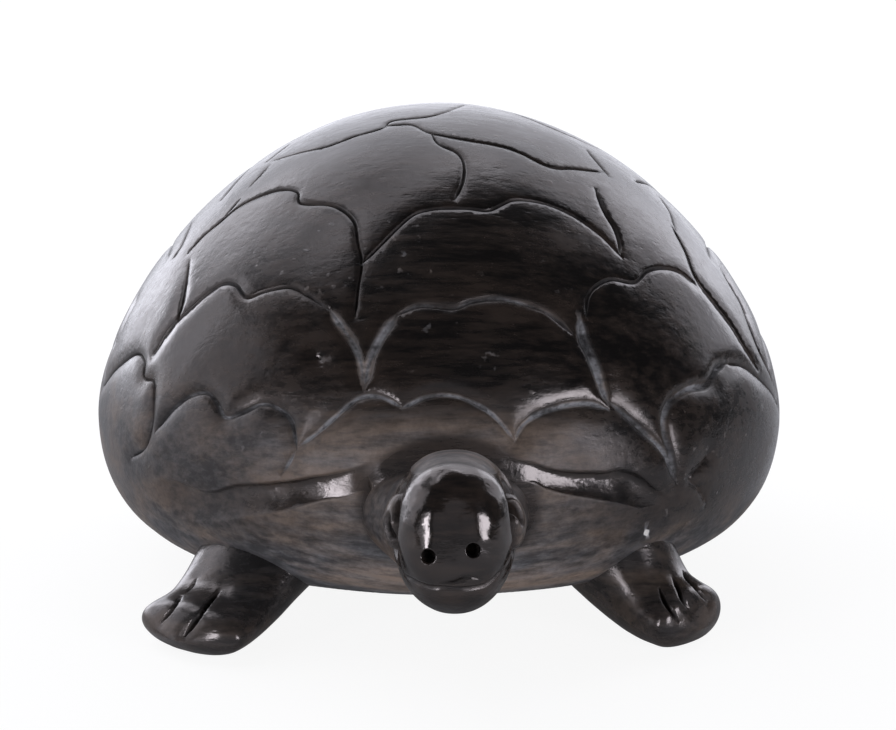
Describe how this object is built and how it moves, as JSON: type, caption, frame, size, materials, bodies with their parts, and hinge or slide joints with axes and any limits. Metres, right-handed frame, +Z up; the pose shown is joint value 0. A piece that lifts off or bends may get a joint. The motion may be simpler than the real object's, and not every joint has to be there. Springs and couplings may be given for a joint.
{
  "type": "turtle figurine",
  "caption": "Carved dark hardwood turtle ornament: domed shell with scale-like plates, egg-shaped head, splayed legs with knife-cut toes and a short tail.",
  "frame": {"origin": "on the floor, under the middle of the overall box", "axes": "+Z up, nose towards -Y, the turtle's own left towards +X"},
  "size_m": [0.1, 0.143, 0.067],
  "materials": {
    "carved_ebony": "hand-carved, waxed and polished to a soft gloss",
    "dowel_wood": "plain turned hardwood dowel"
  },
  "bodies": {
    "root": {"shell": "carved_ebony", "head": "carved_ebony", "front_left_leg": "carved_ebony", "front_right_leg": "carved_ebony", "rear_left_leg": "carved_ebony", "rear_right_leg": "carved_ebony", "tail": "carved_ebony", "neck_dowel": "dowel_wood", "front_left_leg_dowel": "dowel_wood", "front_right_leg_dowel": "dowel_wood", "rear_left_leg_dowel": "dowel_wood", "rear_right_leg_dowel": "dowel_wood", "tail_dowel": "dowel_wood"}
  },
  "joints": []
}
